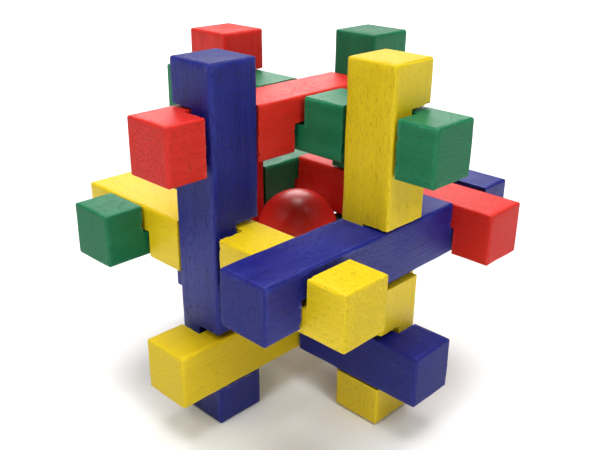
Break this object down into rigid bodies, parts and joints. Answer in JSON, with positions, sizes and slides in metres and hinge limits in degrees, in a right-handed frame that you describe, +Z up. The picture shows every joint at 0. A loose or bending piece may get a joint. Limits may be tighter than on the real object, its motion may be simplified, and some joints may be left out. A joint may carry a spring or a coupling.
{
  "type": "burr puzzle",
  "caption": "Painted wooden burr puzzle: notched square bars cross in three directions and lock into a cage that holds a loose ball; one key bar shifts to start taking it apart.",
  "frame": {"origin": "middle of the cage, which is the middle of the bounding box", "axes": "+Z up along the upright bars, +X to the right along the cross bars, +Y to the back; it stands on the upright bars' lower ends"},
  "size_m": [0.1012, 0.1007, 0.1004],
  "materials": {
    "blue_paint": "satin paint",
    "yellow_paint": "satin paint",
    "red_paint": "satin paint",
    "green_paint": "satin paint",
    "ball_paint": "gloss paint"
  },
  "bodies": {
    "cage": {"bar_upright_left_blue": "blue_paint", "bar_upright_front_yellow": "yellow_paint", "bar_upright_back_red": "red_paint", "bar_cross_top_red": "red_paint", "bar_cross_front_blue": "blue_paint", "bar_cross_back_green": "green_paint", "bar_cross_bottom_yellow": "yellow_paint", "bar_deep_top_green": "green_paint", "bar_deep_left_yellow": "yellow_paint", "bar_deep_right_red": "red_paint", "bar_deep_bottom_blue": "blue_paint"},
    "key_bar": {"bar_upright_right_green": "green_paint"},
    "ball": {"ball_red": "ball_paint"}
  },
  "joints": [
    {"name": "key_bar_shift", "type": "slide", "parent": "cage", "child": "key_bar", "axis": [0, 1, 0], "range_m": [0, 0.008]},
    {"name": "ball_travel", "type": "slide", "parent": "cage", "child": "ball", "axis": [-0.5774, -0.5774, 0.5774], "range_m": [0, 0.034]}
  ]
}
